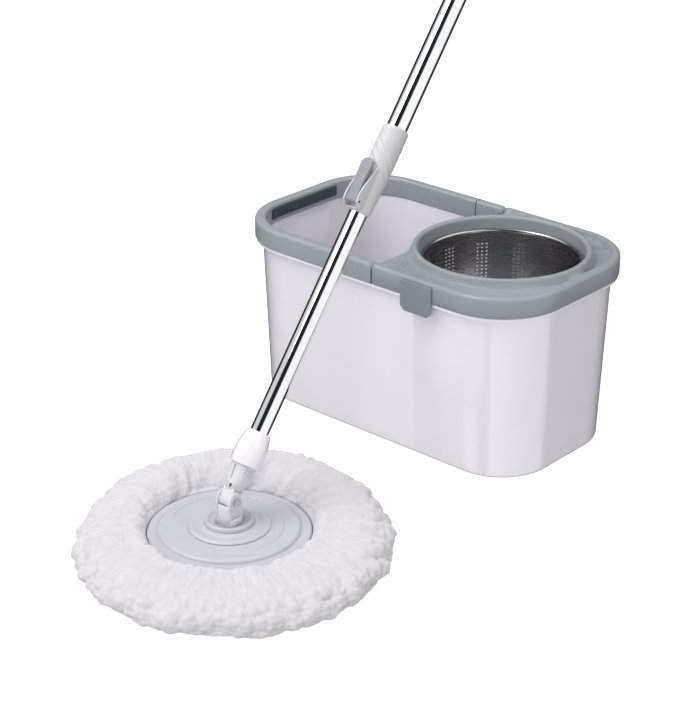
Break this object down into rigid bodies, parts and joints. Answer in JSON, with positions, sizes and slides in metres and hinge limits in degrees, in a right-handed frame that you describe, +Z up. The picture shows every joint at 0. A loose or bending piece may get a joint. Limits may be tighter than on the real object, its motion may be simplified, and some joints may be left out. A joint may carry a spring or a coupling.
{
  "type": "spin mop and bucket",
  "caption": "Long two-compartment bucket with a perforated spin-wringer basket and folding handle, and a round fringed mop on a leaning telescopic press pole.",
  "frame": {"origin": "middle of the bucket's underside, on the floor", "axes": "+X along the bucket towards the wringer, -Y towards the mop head, +Z up"},
  "size_m": [0.4796, 0.8832, 0.9504],
  "materials": {
    "pearl_white": "gloss",
    "rim_grey": "satin",
    "latch_grey": "satin",
    "comb_dark": "matte",
    "lever_grey": "satin",
    "sleeve_white": "satin",
    "plate_grey": "satin",
    "inner_white": "satin",
    "microfibre": "fluffy",
    "grip_grey": "matte",
    "chrome": "mirror polished",
    "stainless": "satin",
    "brass": "satin"
  },
  "bodies": {
    "bucket": {"tub": "pearl_white", "pivot_pin_front": "rim_grey", "pivot_pin_back": "rim_grey", "wringer_cover": "rim_grey", "thumb_pad_front": "rim_grey", "thumb_pad_back": "rim_grey", "spindle_base": "inner_white", "spindle": "stainless"},
    "carry_handle": {"carry_handle": "rim_grey", "grip_comb": "comb_dark"},
    "latch_front": {"latch_front": "latch_grey"},
    "latch_back": {"latch_back": "latch_grey"},
    "bearing": {"bearing_sleeve": "grip_grey"},
    "basket": {"basket": "stainless", "basket_rim": "stainless", "basket_hub": "rim_grey", "hub_clamp": "rim_grey"},
    "mop_head": {"fringe": "microfibre", "refill_ring": "inner_white", "mop_plate": "plate_grey", "boss_cover": "plate_grey", "hub_ring": "plate_grey", "hub_fork": "plate_grey", "knuckle_pin": "stainless"},
    "lower_pole": {"knuckle_neck": "sleeve_white", "bell_socket": "pearl_white", "lower_tube": "chrome", "tube_plug": "inner_white"},
    "clutch": {"clutch_ring": "inner_white"},
    "drive_nut": {"drive_nut": "brass"},
    "upper_pole": {"twist_rod": "stainless", "rod_anchor": "inner_white", "upper_tube": "chrome", "lock_sleeve": "sleeve_white", "lever_pin": "stainless", "pole_grip": "grip_grey", "end_cap": "rim_grey"},
    "lock_lever": {"lock_lever": "lever_grey"}
  },
  "joints": [
    {"name": "handle_swing", "type": "hinge", "parent": "bucket", "child": "carry_handle", "pos_m": [0.006, 0, 0.236], "axis": [0, 1, 0], "range_deg": [0, 90]},
    {"name": "latch_front_open", "type": "hinge", "parent": "bucket", "child": "latch_front", "pos_m": [0.0865, -0.1358, 0.239], "axis": [-1, 0, 0], "range_deg": [0, 60]},
    {"name": "latch_back_open", "type": "hinge", "parent": "bucket", "child": "latch_back", "pos_m": [0.0865, 0.1358, 0.239], "axis": [1, 0, 0], "range_deg": [0, 60]},
    {"name": "basket_lift", "type": "slide", "parent": "bucket", "child": "bearing", "axis": [0, 0, 1], "range_m": [0, 0.15]},
    {"name": "basket_spin", "type": "hinge", "parent": "bearing", "child": "basket", "pos_m": [0.1076, 0, 0.14], "axis": [0, 0, 1], "continuous": true},
    {"name": "mop_lift", "type": "slide", "parent": "bucket", "child": "mop_head", "axis": [0, 0, 1], "range_m": [0, 0.3]},
    {"name": "pole_tilt", "type": "hinge", "parent": "mop_head", "child": "lower_pole", "pos_m": [0.0576, -0.426, 0.057], "axis": [1, 0, 0], "range_deg": [-7, 95]},
    {"name": "mop_spin", "type": "hinge", "parent": "lower_pole", "child": "clutch", "pos_m": [0.0576, -0.426, 0.057], "axis": [0, 0.6115, 0.7912], "continuous": true},
    {"name": "nut_turn", "type": "hinge", "parent": "clutch", "child": "drive_nut", "pos_m": [0.0576, -0.426, 0.057], "axis": [0, 0.6115, 0.7912], "continuous": true},
    {"name": "pole_press", "type": "slide", "parent": "clutch", "child": "upper_pole", "axis": [0, 0.6115, 0.7912], "range_m": [-0.22, 0.06]},
    {"name": "lever_open", "type": "hinge", "parent": "upper_pole", "child": "lock_lever", "pos_m": [0.0576, -0.21793, 0.35876], "axis": [1, 0, 0], "range_deg": [0, 95]}
  ],
  "couplings": [
    {"joint": "nut_turn", "follows": "pole_press", "rad_per_m": -52.36}
  ]
}
